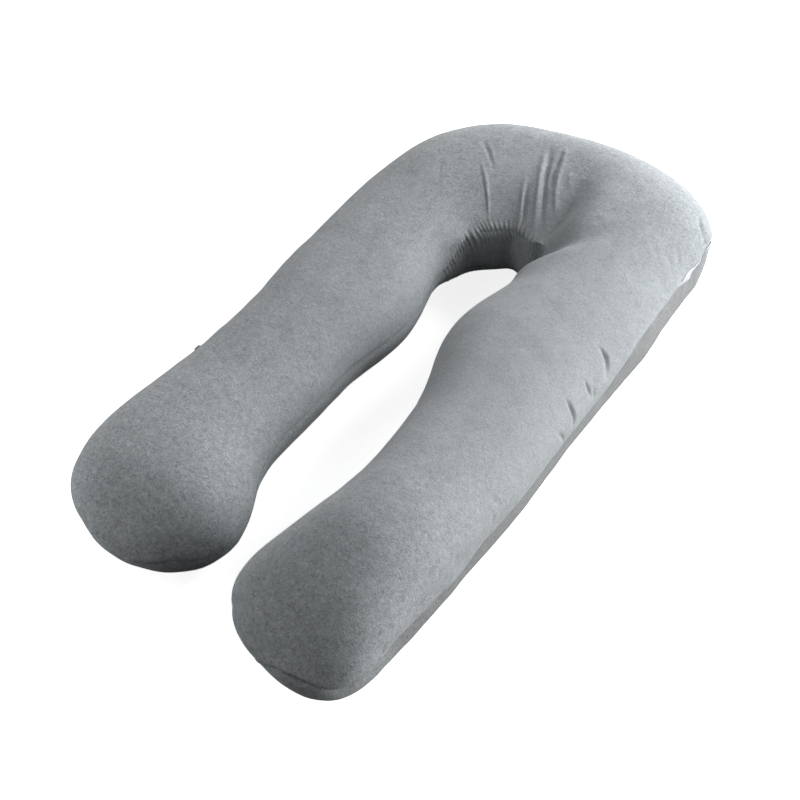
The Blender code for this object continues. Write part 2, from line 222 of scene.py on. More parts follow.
def outwardNormals(along, turn):
    smallStep, smallTurn = pillowForm["normalSteps"]
    before = np.clip(along - smallStep, 0, totalLength)
    after = np.clip(along + smallStep, 0, totalLength)
    lengthwise = filledSurface(after, turn) - filledSurface(before, turn)
    roundwise = filledSurface(along, turn + smallTurn) - filledSurface(along, turn - smallTurn)
    normals = np.cross(lengthwise, roundwise)
    return normals / np.maximum(np.linalg.norm(normals, axis=-1, keepdims=True), 1e-12)


def turnAtHeight(along, height, outer):
    _, _, middleHeight, halfHeight, _ = sectionFrame(along)
    level = np.clip((height - middleHeight) / halfHeight, -pillowForm["seamLimit"], pillowForm["seamLimit"])
    roundness = pillowForm["roundness"]
    power = np.where(level > 0, roundness["upper"] / 2, roundness["lower"] / 2)
    turn = np.arcsin(signedPower(level, power))
    return math.pi - turn if outer else turn


def randomLine(seed, pitch, where):   # smooth random values, one new one each pitch
    count, first = 4000, 500.0   # far more than the pillow's length needs, with room before its start
    values = np.random.default_rng(seed).uniform(-1, 1, count)
    spot = where / pitch + first
    i = np.floor(spot).astype(int)
    share = ease(spot - i)
    return values[i] + (values[i + 1] - values[i]) * share


def ringPlaces():
    places = []
    for first, last, step in pillowForm["ringSteps"]:
        places += list(np.linspace(first, last, round((last - first) / step) + 1))
    for end, atStart in ((pillowForm["leftEnd"], True), (pillowForm["rightEnd"], False)):
        power = end["bluntness"]
        for i in [pillowForm["tipRing"]] + list(range(1, pillowForm["endRings"])):
            opening = math.sin(math.pi / 2 * i / pillowForm["endRings"])
            distance = (1 - (1 - opening ** power) ** (1 / power)) * end["length"]
            places.append(distance if atStart else totalLength - distance)
    return np.unique(np.round(places, 7))


coverSeam = {
    "outerHeight": [   # of the seam above the floor, along the outer side
        # along, height
        (-0.010, 0.063),
        (0.000, 0.083),
        (0.010, 0.101),
        (0.060, 0.102),
        (0.300, 0.095),
        (0.900, 0.095),
        (1.300, 0.100),
        (1.440, 0.108),
        (1.452, 0.118),
        (1.463, 0.130),
        (1.471, 0.139),
        (1.480, 0.1415),
        (1.485, 0.141),
        (1.491, 0.137),
        (1.502, 0.132),
        (1.515, 0.133),
        (1.530, 0.134),
        (1.544, 0.137),
        (1.575, 0.138),
        (1.661, 0.137),
        (1.703, 0.119),
        (1.740, 0.107),
        (1.836, 0.105),
        (1.926, 0.104),
        (2.087, 0.109),
        (2.148, 0.110),
        (2.209, 0.098),
        (2.273, 0.106),
        (2.358, 0.114),
        (2.404, 0.105),
        (2.440, 0.109),
        (2.466, 0.108),
        (2.475, 0.116),
        (2.483, 0.124),
        (2.490, 0.127),
        (2.500, 0.128),
        (2.506, 0.123),
        (2.515, 0.117),
    ],
    "innerHeight": [   # and along the inner side
        # along, height
        (-0.010, 0.069),
        (0.000, 0.083),
        (0.010, 0.096),
        (0.028, 0.090),
        (0.060, 0.078),
        (0.130, 0.082),
        (0.300, 0.094),
        (0.660, 0.096),
        (0.850, 0.086),
        (0.900, 0.104),
        (0.945, 0.127),
        (1.026, 0.144),
        (1.174, 0.152),
        (1.320, 0.162),
        (1.400, 0.148),
        (1.560, 0.097),
        (2.300, 0.095),
        (2.440, 0.110),
        (2.485, 0.118),
        (2.498, 0.122),
        (2.504, 0.119),
        (2.515, 0.117),
    ],
    "heightSoft": 0.008,         # how far the corners of these two tables are rounded
    "depthShare": [   # flatter round the left end and at the zip's top stop, deeper at the right tip
        # along, share of depth
        (0.002, 0.10),
        (0.014, 0.40),
        (0.07, 0.45),
        (0.15, 1.00),
        (1.455, 1.00),
        (1.462, 0.15),
        (1.478, 0.15),
        (1.488, 1.00),
        (2.455, 1.00),
        (2.465, 1.25),
        (2.500, 1.10),
        (2.509, 0.50),
    ],
    "innerShare": [   # inside, at the tip of the right arm, the two panels meet almost flush
        # along, share of depth
        (2.470, 1.00),
        (2.490, 0.40),
    ],
    "shareSoft": 0.004,
    "depth": 0.0075,             # how far the stitching draws the cover in
    "unevenDepth": 0.0012,
    "unevenPitch": 0.030,
    "unevenSeeds": {"inner": 31, "outer": 47},
    "upperFall": 0.0026,         # the upper panel dips steeply and hangs over the seam
    "lowerFall": {"inner": 0.006, "outer": 0.026},   # outside, the lower panel stays set back
    "tipFall": 0.006,            # but it comes straight out again at the tip of the right arm
    "tipReach": (2.440, 2.470),
    "shoulder": 0.0026,          # the upper panel swells beside the seam
    "shoulderPlace": 0.010,
    "wander": 0.0008,            # the line of stitches isn't quite level
    "wanderPitch": 0.045,
    "seed": 11,
}


def seamTurns(places):
    turns = []
    sides = ((False, coverSeam["innerHeight"], 1), (True, coverSeam["outerHeight"], 2))
    for outer, table, seed in sides:
        wander = coverSeam["wander"] * randomLine(coverSeam["seed"] + seed, coverSeam["wanderPitch"], places)
        height = softTable(table, places, coverSeam["heightSoft"]) + wander
        turns.append(turnAtHeight(places, height, outer))
    return turns


def panelDistances(panelLength, startFloor, endFloor, middlePoints):   # across a panel, dense at its edges
    scale = np.minimum(1, panelLength / pillowForm["fullPanel"])[:, None]
    steps = np.array(pillowForm["edgeSteps"])

    def edge(floor):
        floor = floor[:, None]
        return np.concatenate([0 * floor, floor / 2, floor, floor + steps], axis=1) * scale

    start = edge(startFloor)
    end = panelLength[:, None] - edge(endFloor)[:, ::-1]
    share = np.arange(1, middlePoints + 1) / (middlePoints + 1)
    middle = start[:, -1:] + (end[:, :1] - start[:, -1:]) * share
    return np.concatenate([start, middle, end[:, :-1]], axis=1)


zipInSeam = {
    "openHalf": [   # half the height of the opening that shows the zip
        # along, halfHeight
        (1.457, 0.0000),
        (1.464, 0.0038),
        (1.478, 0.0036),
        (1.485, 0.0006),
        (1.490, 0.0008),
        (1.497, 0.0040),
        (1.512, 0.0056),
        (1.530, 0.0046),
        (1.549, 0.0000),
    ],
    "openSoft": 0.002,           # how far the corners of this table are rounded
    "closedHalf": 0.0005,
    "wideHalf": 0.0042,          # an opening of this half-height is as deep as "depth" says
    "depth": 0.0050,             # from the cover to the cloth behind the tape
    "lipFall": 0.0016,           # how tightly the cover folds in at the opening
    "tapeLift": 0.0022,          # of the tape off the cloth behind it
    "tapeRoom": 0.0012,          # the tape goes on under the lips
    "tapeThickness": 0.0006,
    "tapeCrown": 0.0008,
    "tapeInset": 0.001,          # from each end of the opening
    "tapePoints": 9,             # across the tape
    "coilPitch": 0.0013,         # a fine nylon coil
    "coilHalfWidth": 0.0021,
    "coilWire": 0.0004,
    "coilTilt": 78.0,            # degrees: each turn leans a little along the tape
    "coilFlatness": 0.34,        # height of a turn over its width
    "turnSides": 12,
    "wireSides": 5,
}


def openingHalf(along):
    opened = softTable(zipInSeam["openHalf"], along, zipInSeam["openSoft"]) * inZip(along)
    return np.maximum(zipInSeam["closedHalf"], opened)


def inZip(along):
    first, last = zipInSeam["openHalf"][0][0], zipInSeam["openHalf"][-1][0]
    return ((along > first) & (along < last)).astype(float)


def coverGrid():
    places = ringPlaces()
    sweep = np.linspace(-math.pi / 2, 2.5 * math.pi, pillowForm["sweepSteps"])
    dense = filledSurface(places[:, None], sweep[None, :])
    arcs = np.linalg.norm(np.diff(dense, axis=1), axis=2)
    arcs = np.concatenate([np.zeros((len(places), 1)), np.cumsum(arcs, axis=1)], axis=1)
    innerTurn, outerTurn = seamTurns(places)
    arcAt = [[np.interp(t, sweep, arc) for t, arc in zip(turns, arcs)]
             for turns in (innerTurn, outerTurn, innerTurn + 2 * math.pi)]
    innerArc, outerArc, lastArc = np.array(arcAt)
    closed = np.full_like(places, zipInSeam["closedHalf"])
    upper = panelDistances(outerArc - innerArc, closed, openingHalf(places), pillowForm["upperPoints"])
    lower = panelDistances(lastArc - outerArc, openingHalf(places), closed, pillowForm["lowerPoints"])
    wanted = np.concatenate([innerArc[:, None] + upper, outerArc[:, None] + lower], axis=1)
    turns = np.array([np.interp(w, arc, sweep) for w, arc in zip(wanted, arcs)])
    fromInner = np.concatenate([upper, (lastArc - outerArc)[:, None] - lower], axis=1)
    fromOuter = np.concatenate([(outerArc - innerArc)[:, None] - upper, lower], axis=1)
    isUpper = np.arange(turns.shape[1]) < upper.shape[1]
    grid = {
        "places": places,
        "turns": turns,
        "along": np.repeat(places[:, None], turns.shape[1], axis=1),
        "fromInner": fromInner,
        "fromOuter": fromOuter,
        "isUpper": np.broadcast_to(isUpper, turns.shape),
        "outerSeamPoint": upper.shape[1],
    }
    grid["points"] = filledSurface(grid["along"], turns)
    grid["normals"] = outwardNormals(grid["along"], turns)
    for name, column in (("innerRun", 0), ("outerRun", upper.shape[1])):
        line = grid["points"][:, column]
        steps = np.linalg.norm(np.diff(line, axis=0), axis=1)
        grid[name] = np.concatenate([[0.0], np.cumsum(steps)])[:, None]
    return grid


def seamDip(grid):
    dip = np.zeros_like(grid["fromOuter"])
    along = grid["along"]
    first, last = coverSeam["tipReach"]
    atTip = ease((along - first) / (last - first))
    for side, distance, run in (("inner", "fromInner", "innerRun"), ("outer", "fromOuter", "outerRun")):
        opened = side == "outer"   # the zip is in the outer seam
        floor = openingHalf(along) if opened else zipInSeam["closedHalf"]
        edge = np.maximum(grid[distance] - floor, 0)
        lowerFall = coverSeam["lowerFall"][side]
        lowerFall = lowerFall + (coverSeam["tipFall"] - lowerFall) * atTip
        fall = np.where(grid["isUpper"], coverSeam["upperFall"], lowerFall)
        shoulder = np.where(grid["isUpper"], coverSeam["shoulder"], 0.0)
        uneven = randomLine(coverSeam["unevenSeeds"][side], coverSeam["unevenPitch"], grid[run])
        depth = coverSeam["depth"] + coverSeam["unevenDepth"] * uneven
        depth = depth * softTable(coverSeam["depthShare"], along, coverSeam["shareSoft"])
        if not opened:
            depth = depth * (1 - (1 - coverGathers["seamShare"]) * gathered(along))
            flush = softTable(coverSeam["innerShare"], along, coverSeam["shareSoft"])
            depth, shoulder = depth * flush, shoulder * flush
        dip = dip - depth * np.exp(-edge / fall)
        place = edge / coverSeam["shoulderPlace"]
        dip = dip + shoulder * place * np.exp(1 - place)
        if opened:
            wide = ease(openingHalf(along) / zipInSeam["wideHalf"])
            shallower = zipInSeam["depth"] - coverSeam["depth"]
            dip = dip - wide * shallower * np.exp(-edge / zipInSeam["lipFall"])
    return dip


coverPuckers = {   # small folds that the stitching sets along the seam
    "rows": [
        # pitch, height, reach, slant
        (0.0062, 0.00045, 0.009, 0.3),
        (0.0120, 0.00085, 0.020, -0.4),
        (0.0270, 0.00110, 0.042, 0.6),
    ],
    "strength": 0.55,            # plus or minus "uneven", changing along the seam
    "uneven": 0.45,
    "unevenPitch": 0.11,
    "clear": 0.002,              # they start this far from the stitches
    "start": 0.2,                # where along their random lines
    "seed": 23,
    "seedSteps": {"side": 10, "row": 3, "upper": 100, "uneven": 50},
}


def seamPuckers(grid):
    lift = np.zeros_like(grid["fromOuter"])
    steps = coverPuckers["seedSteps"]
    for side, (name, run) in enumerate((("fromInner", "innerRun"), ("fromOuter", "outerRun"))):
        for row, (pitch, height, reach, slant) in enumerate(coverPuckers["rows"]):
            for upper in (0, 1):
                seed = steps["side"] * side + steps["row"] * row + steps["upper"] * upper
                seed = seed + coverPuckers["seed"]
                where = grid[run] + slant * grid[name] + coverPuckers["start"]
                wave = randomLine(seed, pitch, where)
                uneven = randomLine(seed + steps["uneven"], coverPuckers["unevenPitch"], grid[run])
                strength = coverPuckers["strength"] + coverPuckers["uneven"] * uneven
                fade = np.exp(-grid[name] / reach) * ease(grid[name] / coverPuckers["clear"])
                lift = lift + (grid["isUpper"] == upper) * height * wave * strength * fade
    return lift


coverGathers = {   # on the inner side of the bend, where the cloth has least room
    "from": 0.82,
    "to": 1.45,
    "ease": 0.09,
    "pitch": 0.0085,             # along the inner seam
    "height": 0.0038,
    "sharpness": 0.8,            # 1 is a plain wave, less is squarer
    "seamShare": 0.30,           # how much of the seam's groove the gathers leave
    "reachUp": 0.026,
    "reachDown": 0.120,
    "slant": 0.35,
    "sway": 0.6,                 # of the pitch
    "swayPitch": 0.028,
    "strength": 0.62,            # plus or minus "uneven"
    "uneven": 0.38,
    "strengthPitch": 1.1,        # of the pitch
    "reachShare": 0.86,          # plus or minus "reachUneven"
    "reachUneven": 0.26,
    "reachPitch": 1.4,
    "seed": 5,
}


def gathered(along):   # 1 where the inner seam is gathered, 0 elsewhere
    width = coverGathers["ease"]
    return ease((along - coverGathers["from"]) / width) * ease((coverGathers["to"] - along) / width)


def bendGathers(grid):
    pitch, seed = coverGathers["pitch"], coverGathers["seed"]
    upOrDown = np.where(grid["isUpper"], 1, -1)
    where = grid["innerRun"] + coverGathers["slant"] * grid["fromInner"] * upOrDown
    sway = coverGathers["sway"] * randomLine(seed, coverGathers["swayPitch"], where) * pitch
    wave = np.cos(2 * math.pi * (where + sway) / pitch)
    ridge = signedPower(wave, coverGathers["sharpness"])
    uneven = randomLine(seed + 1, coverGathers["strengthPitch"] * pitch, where)
    strength = coverGathers["strength"] + coverGathers["uneven"] * uneven
    reach = np.where(grid["isUpper"], coverGathers["reachUp"], coverGathers["reachDown"])
    uneven = randomLine(seed + 2, coverGathers["reachPitch"] * pitch, where)
    reach = reach * (coverGathers["reachShare"] + coverGathers["reachUneven"] * uneven)
    fade = 1 - ease(grid["fromInner"] / reach)
    return coverGathers["height"] * ridge * strength * gathered(grid["along"]) * fade


coverFolds = {
    # round is 0 degrees at the inner side, 90 at the crown, 180 at the outer side
    # a positive height is a ridge, a negative one a crease
    "rows": [
        # along1, round1, along2, round2, along3, round3, halfWidth, height
        # across the bend
        (1.090, 104, 1.096, 95, 1.101, 84, 0.0028, -0.0032),
        (1.094, 103, 1.100, 95, 1.105, 88, 0.0026, 0.0014),
        (1.078, 90, 1.079, 70, 1.068, 46, 0.0030, 0.0028),
        (1.072, 88, 1.073, 70, 1.063, 48, 0.0030, -0.0014),
        (1.178, 78, 1.190, 60, 1.216, 36, 0.0040, 0.0028),
        (1.190, 74, 1.202, 58, 1.224, 38, 0.0040, -0.0028),
        (1.200, 99, 1.215, 80, 1.268, 46, 0.0038, 0.0036),
        (1.208, 99, 1.229, 81, 1.282, 50, 0.0052, -0.0056),
        (1.229, 100, 1.238, 87, 1.250, 78, 0.0032, -0.0044),
        (1.230, 106, 1.254, 85, 1.298, 64, 0.0029, 0.0058),
        (1.267, 90, 1.281, 86, 1.294, 82, 0.0030, 0.0018),
        # the V above the zip
        (1.442, 139, 1.459, 142, 1.477, 150, 0.0026, -0.0085),
        (1.460, 156, 1.468, 153, 1.474, 150, 0.0020, -0.0040),
        (1.464, 149, 1.471, 150, 1.478, 151, 0.0034, -0.0070),
        (1.473, 164, 1.480, 161, 1.486, 159, 0.0020, -0.0028),
        # above the right arm's seam
        (1.725, 131, 1.729, 142, 1.754, 155, 0.0030, -0.0066),
        (1.796, 155, 1.802, 158, 1.808, 163, 0.0028, -0.0040),
        (1.805, 143, 1.810, 149, 1.816, 156, 0.0028, -0.0046),
        (1.870, 140, 1.874, 152, 1.885, 165, 0.0032, -0.0066),
        (1.927, 154, 1.921, 162, 1.916, 170, 0.0030, -0.0044),
        (2.103, 141, 2.100, 147, 2.096, 152, 0.0045, -0.0026),
        (2.119, 156, 2.119, 160, 2.120, 164, 0.0040, -0.0024),
        (2.218, 158, 2.220, 162, 2.223, 166, 0.0042, -0.0026),
        (2.252, 154, 2.257, 157, 2.262, 159, 0.0040, -0.0020),
        (2.388, 171, 2.380, 169, 2.370, 166, 0.0042, -0.0026),
        # at the two tips
        (2.494, 29, 2.498, 27, 2.503, 24, 0.0050, -0.0040),
        (0.021, 126, 0.014, 139, 0.007, 152, 0.0045, -0.0024),
        # on the crown beside the zip
        (1.499, 127, 1.514, 134, 1.528, 142, 0.0024, -0.0032),
        (1.503, 129, 1.518, 136, 1.531, 144, 0.0030, 0.0010),
        (1.498, 106, 1.512, 112, 1.527, 119, 0.0024, -0.0018),
        (1.514, 124, 1.519, 127, 1.525, 131, 0.0028, -0.0016),
        (1.503, 143, 1.509, 146, 1.514, 149, 0.0022, -0.0024),
        (1.568, 101, 1.574, 104, 1.579, 106, 0.0022, -0.0014),
        (1.615, 127, 1.619, 130, 1.622, 132, 0.0022, -0.0014),
    ],
    "samples": 24,
}


coverHollows = {   # a broad dip of the filling, in the crook where the bend meets the right arm
    "rows": [
        # along1, round1, along2, round2, along3, round3, halfWidth, height
        (1.345, 28, 1.330, 58, 1.305, 88, 0.035, -0.025),
    ],
    "samples": 16,
}


lineFade = {   # each line runs out at both ends
    "start": 0.06,
    "span": 0.88,
    "power": 0.8,
    "reach": 4,                  # half-widths, past which nothing of it is left
}


def linesOnCover(grid, facts):   # ridges and troughs, each a soft line through three places
    points = grid["points"]
    lift = np.zeros(points.shape[:2])
    share = np.linspace(0, 1, facts["samples"])
    for along1, round1, along2, round2, along3, round3, halfWidth, height in facts["rows"]:
        line = filledSurface(
            quadraticThrough(along1, along2, along3, share),
            np.radians(quadraticThrough(round1, round2, round3, share)),
        )
        fade = np.sin(math.pi * (lineFade["start"] + lineFade["span"] * share)) ** lineFade["power"]
        near = np.linalg.norm(points - line[len(line) // 2], axis=-1)
        reach = np.linalg.norm(line[-1] - line[0]) + lineFade["reach"] * halfWidth
        rows, columns = np.nonzero(near < reach)
        apart = np.linalg.norm(points[rows, columns][:, None] - line[None], axis=-1)
        strength = fade * np.exp(-((apart / halfWidth) ** 2))
        lift[rows, columns] += height * strength.max(axis=1)
    return lift


def quadraticThrough(first, middle, last, share):
    ends = first * (1 - share) * (1 - 2 * share) + last * share * (2 * share - 1)
    return ends + middle * 4 * share * (1 - share)


coverUnevenness = {   # slow hills of the filling
    "rows": [
        # wavelength, height
        (0.170, 0.0004),
        (0.085, 0.0002),
        (0.045, 0.0002),
    ],
    "waves": 7,
    "spread": (0.8, 1.25),       # of each wave's size round its row's
    "seed": 3,
    "flatBelow": 0.001,          # the underside stays flat on the floor
    "flatEase": 0.012,
}


def slowHills(points):
    random = np.random.default_rng(coverUnevenness["seed"])
    lift = np.zeros(points.shape[:-1])
    for wavelength, height in coverUnevenness["rows"]:
        for _ in range(coverUnevenness["waves"]):
            direction = random.normal(size=3)
            direction /= np.linalg.norm(direction)
            size = 2 * math.pi / wavelength * random.uniform(*coverUnevenness["spread"])
            wave = np.sin(points @ direction * size + random.uniform(0, 2 * math.pi))
            lift += height * wave / math.sqrt(coverUnevenness["waves"] / 2)
    return lift


def coverShape():
    grid = coverGrid()
    print("cover grid", grid["turns"].shape)
    lift = seamDip(grid) + seamPuckers(grid) + bendGathers(grid) + slowHills(grid["points"])
    lift = lift + linesOnCover(grid, coverFolds) + linesOnCover(grid, coverHollows)
    raised = grid["points"][..., 2] - coverUnevenness["flatBelow"]
    lift = lift * ease(raised / coverUnevenness["flatEase"])
    grid["shape"] = grid["points"] + grid["normals"] * lift[..., None]
    grid["shape"][..., 2] = np.maximum(grid["shape"][..., 2], 0)
    return grid


def meshObject(name, vertices, faces, material, smooth=True):
    mesh = bpy.data.meshes.new(name)
    mesh.from_pydata(np.asarray(vertices).tolist(), [], faces)
    mesh.update()
    if smooth:
        mesh.shade_smooth()
    mesh.materials.append(material)
    thing = bpy.data.objects.new(name, mesh)
    bpy.context.scene.collection.objects.link(thing)
    return thing


def makeCover(grid, material):
    rings = grid["shape"]
    ringCount, pointCount = rings.shape[:2]
    vertices = rings.reshape(-1, 3)
    i, j = np.meshgrid(np.arange(ringCount - 1), np.arange(pointCount), indexing="ij")
    k = (j + 1) % pointCount
    near, far = i * pointCount, (i + 1) * pointCount
    faces = np.stack([near + j, far + j, far + k, near + k], axis=-1).reshape(-1, 4).tolist()
    tips = []
    for ring, atStart in ((0, True), (ringCount - 1, False)):
        tip = len(vertices) + len(tips)
        tips.append(rings[ring][[0, grid["outerSeamPoint"]]].mean(axis=0))
        for j in range(pointCount):
            first, second = ring * pointCount + j, ring * pointCount + (j + 1) % pointCount
            faces.append((tip, first, second) if atStart else (tip, second, first))
    cover = meshObject("pillow_cover", np.concatenate([vertices, tips]), faces, material)
    # painted shade: 1 on the lower panel of the right arm, below the seam, where the jersey takes darker
    # tones for the shade there; 0 elsewhere
    first, last = jerseyLook["paintedShadeReach"]
    firstEase, lastEase = jerseyLook["paintedShadeEase"]
    paintedShadeAlong = ease((grid["along"] - first) / firstEase) * ease((last - grid["along"]) / lastEase)
    lower = np.append((paintedShadeAlong * ~grid["isUpper"]).ravel(), [0.0, 0.0]).astype(np.float32)
    cover.data.attributes.new("painted_shade_below_seam", "FLOAT", "POINT").data.foreach_set("value", lower)
    return cover


def makeZipTape(grid, material):   # a thin band of tape across the opening, a little bowed outwards
    seam = grid["outerSeamPoint"]
    first, last = zipInSeam["openHalf"][0][0], zipInSeam["openHalf"][-1][0]
    first, last = first + zipInSeam["tapeInset"], last - zipInSeam["tapeInset"]
    rings = np.flatnonzero((grid["places"] > first) & (grid["places"] < last))
    shape, outward = grid["shape"][rings], grid["normals"][rings, seam]
    across = shape[:, seam + 1] - shape[:, seam - 1]
    across /= np.linalg.norm(across, axis=1, keepdims=True)
    half = openingHalf(grid["places"][rings]) + zipInSeam["tapeRoom"]
    shares = np.linspace(-1, 1, zipInSeam["tapePoints"])
    layers = []
    for thickness in (zipInSeam["tapeThickness"], 0.0):
        lift = zipInSeam["tapeLift"] + thickness + zipInSeam["tapeCrown"] * (1 - shares ** 2)
        points = shape[:, seam, None] + across[:, None] * (half[:, None] * shares)[..., None]
        layers.append(points + outward[:, None] * lift[None, :, None])
    profile = np.concatenate([layers[0], layers[1][:, ::-1]], axis=1)
    top = zipInSeam["tapeLift"] + zipInSeam["tapeThickness"] + zipInSeam["tapeCrown"]
    path = shape[:, seam] + outward * top
    return sweptSolid("zip_band", profile, material), path, outward


def sweptSolid(name, rings, material):   # closed rings of points joined one to the next, ends capped
    ringCount, pointCount = rings.shape[:2]
    faces = []
    for i in range(ringCount - 1):
        for j in range(pointCount):
            k = (j + 1) % pointCount
            near, far = i * pointCount, (i + 1) * pointCount
            faces.append((near + j, near + k, far + k, far + j))
    lastRing = (ringCount - 1) * pointCount
    faces.append(tuple(range(pointCount))[::-1])
    faces.append(tuple(lastRing + j for j in range(pointCount)))
    piece = meshObject(name, rings.reshape(-1, 3), faces, material)
    turnOutwards(piece)
    return piece


def turnOutwards(piece):
    work = bmesh.new()
    work.from_mesh(piece.data)
    bmesh.ops.recalc_face_normals(work, faces=work.faces)
    work.to_mesh(piece.data)
    work.free()


def makeCoil(path, outward, material):   # the zip's nylon coil, one small loop for each turn
    mesh = bpy.data.meshes.new("coil_path")
    edges = [(i, i + 1) for i in range(len(path) - 1)]
    mesh.from_pydata(path.tolist(), edges, [])
    direction = mesh.attributes.new("outward", "FLOAT_VECTOR", "POINT")
    direction.data.foreach_set("vector", outward.astype(np.float32).ravel())
    coil = bpy.data.objects.new("zip_coil", mesh)
    bpy.context.scene.collection.objects.link(coil)
    tree = bpy.data.node_groups.new("loops_along_path", "GeometryNodeTree")
    tree.interface.new_socket("Geometry", in_out="INPUT", socket_type="NodeSocketGeometry")
    tree.interface.new_socket("Geometry", in_out="OUTPUT", socket_type="NodeSocketGeometry")
    sockets = {}
    for name in ("Pitch", "Half width", "Wire"):
        sockets[name] = tree.interface.new_socket(name, in_out="INPUT", socket_type="NodeSocketFloat")
    start = addNode(tree, "NodeGroupInput")
    curve = addNode(tree, "GeometryNodeMeshToCurve", links={"Mesh": start.outputs["Geometry"]})
    spaced = addNode(
        tree, "GeometryNodeResampleCurve", {"mode": "LENGTH"},
        links={"Curve": curve.outputs["Curve"], "Length": start.outputs["Pitch"]},
    )
    tangent = addNode(tree, "GeometryNodeInputTangent")
    facing = addNode(
        tree, "GeometryNodeInputNamedAttribute", {"data_type": "FLOAT_VECTOR"}, {"Name": "outward"},
    )
    turned = addNode(
        tree, "FunctionNodeAxesToRotation", {"primary_axis": "Z", "secondary_axis": "X"},
        links={"Primary Axis": facing.outputs["Attribute"], "Secondary Axis": tangent.outputs["Tangent"]},
    )
    hoop = addNode(
        tree, "GeometryNodeCurvePrimitiveCircle", {"mode": "RADIUS"},
        {"Resolution": zipInSeam["turnSides"]}, {"Radius": start.outputs["Half width"]},
    )
    wire = addNode(
        tree, "GeometryNodeCurvePrimitiveCircle", {"mode": "RADIUS"},
        {"Resolution": zipInSeam["wireSides"]}, {"Radius": start.outputs["Wire"]},
    )
    loop = addNode(
        tree, "GeometryNodeCurveToMesh",
        links={"Curve": hoop.outputs["Curve"], "Profile Curve": wire.outputs["Curve"]},
    )
    upright = addNode(
        tree, "GeometryNodeTransform",
        values={
            "Rotation": (0.0, math.radians(zipInSeam["coilTilt"]), 0.0),
            "Scale": (zipInSeam["coilFlatness"], 1.0, 1.0),
        },
        links={"Geometry": loop.outputs["Mesh"]},
    )
    placed = addNode(
        tree, "GeometryNodeInstanceOnPoints",
        links={
            "Points": spaced.outputs["Curve"],
            "Instance": upright.outputs["Geometry"],
            "Rotation": turned.outputs["Rotation"],
        },
    )
    real = addNode(
        tree, "GeometryNodeRealizeInstances", links={"Geometry": placed.outputs["Instances"]},
    )
    finished = addNode(
        tree, "GeometryNodeSetMaterial", values={"Material": material},
        links={"Geometry": real.outputs["Geometry"]},
    )
    addNode(tree, "NodeGroupOutput", links={"Geometry": finished.outputs["Geometry"]})
    modifier = coil.modifiers.new("loops", "NODES")
    modifier.node_group = tree
    modifier[sockets["Pitch"].identifier] = zipInSeam["coilPitch"]
    modifier[sockets["Half width"].identifier] = zipInSeam["coilHalfWidth"]
    modifier[sockets["Wire"].identifier] = zipInSeam["coilWire"]
    return baked(coil, material)


def baked(thing, material):   # the modifiers' result becomes the object's own mesh, in one material
    depsgraph = bpy.context.evaluated_depsgraph_get()
    result = bpy.data.meshes.new_from_object(thing.evaluated_get(depsgraph), depsgraph=depsgraph)
    thing.modifiers.clear()
    thing.data = result
    result.materials.clear()   # the tree leaves an empty slot in front
    result.materials.append(material)
    result.shade_smooth()
    return thing


sideLabel = {
    "along": 0.408,
    "width": 0.011,
    "reach": 0.0225,             # from the bottom of the seam's groove
    "thickness": 0.0005,
    "loopHalf": 0.0012,          # half the room inside the fold
    "lift": 30.0,                # degrees above level
    "bow": 0.0007,
    "straight": 0.3,             # share of the width at which it doesn't bow
    "pinch": 0.35,               # how far the two ends meet in the stitching
    "pinchReach": 1.4,           # the pinch is gone this many times sooner than the fold
    "foldPoints": 13,            # round the fold, along a stem, and sections across the width
    "stemPoints": 8,
    "sections": 9,
}


def makeLabel(grid, material):   # a loop of folded tape that stands out of the seam
    corners = []
    for side in (-1, 1):
        place = sideLabel["along"] + side * sideLabel["width"] / 2
        i = int(np.argmin(np.abs(grid["places"] - place)))
        corners.append(grid["shape"][i, grid["outerSeamPoint"]])
    lengthwise = corners[1] - corners[0]
    outward = np.cross([0.0, 0.0, 1.0], lengthwise)
    outward /= np.linalg.norm(outward)
    lift = math.radians(sideLabel["lift"])
    reach = outward * math.cos(lift) + np.array([0.0, 0.0, math.sin(lift)])
    thick = np.cross(reach, lengthwise)
    thick /= np.linalg.norm(thick)
    turn = np.linspace(math.pi / 2, -math.pi / 2, sideLabel["foldPoints"])
    loops = []
    for half in (sideLabel["loopHalf"] + sideLabel["thickness"], sideLabel["loopHalf"]):
        out = sideLabel["reach"] - sideLabel["loopHalf"] - sideLabel["thickness"]
        fold = np.stack([out + half * np.cos(turn), half * np.sin(turn)], axis=1)
        stem = np.linspace(0, out, sideLabel["stemPoints"])[:-1]
        pinch = ease(stem / out * sideLabel["pinchReach"])
        pinch = sideLabel["pinch"] + (1 - sideLabel["pinch"]) * pinch
        upperStem = np.stack([stem, half * pinch], axis=1)
        lowerStem = np.stack([stem, -half * pinch], axis=1)[::-1]
        loops.append(np.concatenate([upperStem, fold, lowerStem]))
    outline = np.concatenate([loops[0], loops[1][::-1]])
    rings = []
    for share in np.linspace(0, 1, sideLabel["sections"]):
        base = corners[0] + lengthwise * share
        bow = sideLabel["bow"] * np.sin(math.pi * outline[:, :1] / sideLabel["reach"])
        bow = bow * (share - sideLabel["straight"])
        rings.append(base + reach * outline[:, :1] + thick * (outline[:, 1:] + bow))
    return sweptSolid("loop_label", np.array(rings), material)


# Finishes

def linearColour(hexText):   # sRGB hex to the linear values that Blender works in
    parts = [int(hexText[i:i + 2], 16) / 255 for i in (1, 3, 5)]
    return tuple(v / 12.92 if v <= 0.04045 else ((v + 0.055) / 1.055) ** 2.4 for v in parts) + (1.0,)


def addNode(tree, kind, settings=None, values=None, links=None):
    node = tree.nodes.new(kind)
    for name, value in (settings or {}).items():
        setattr(node, name, value)
    for name, value in (values or {}).items():
        node.inputs[name].default_value = value
    for name, source in (links or {}).items():
        tree.links.new(source, node.inputs[name])
    return node


def startMaterial(name):
    material = bpy.data.materials.new(name)
    material.use_nodes = True
    material.node_tree.nodes.clear()
    return material, material.node_tree


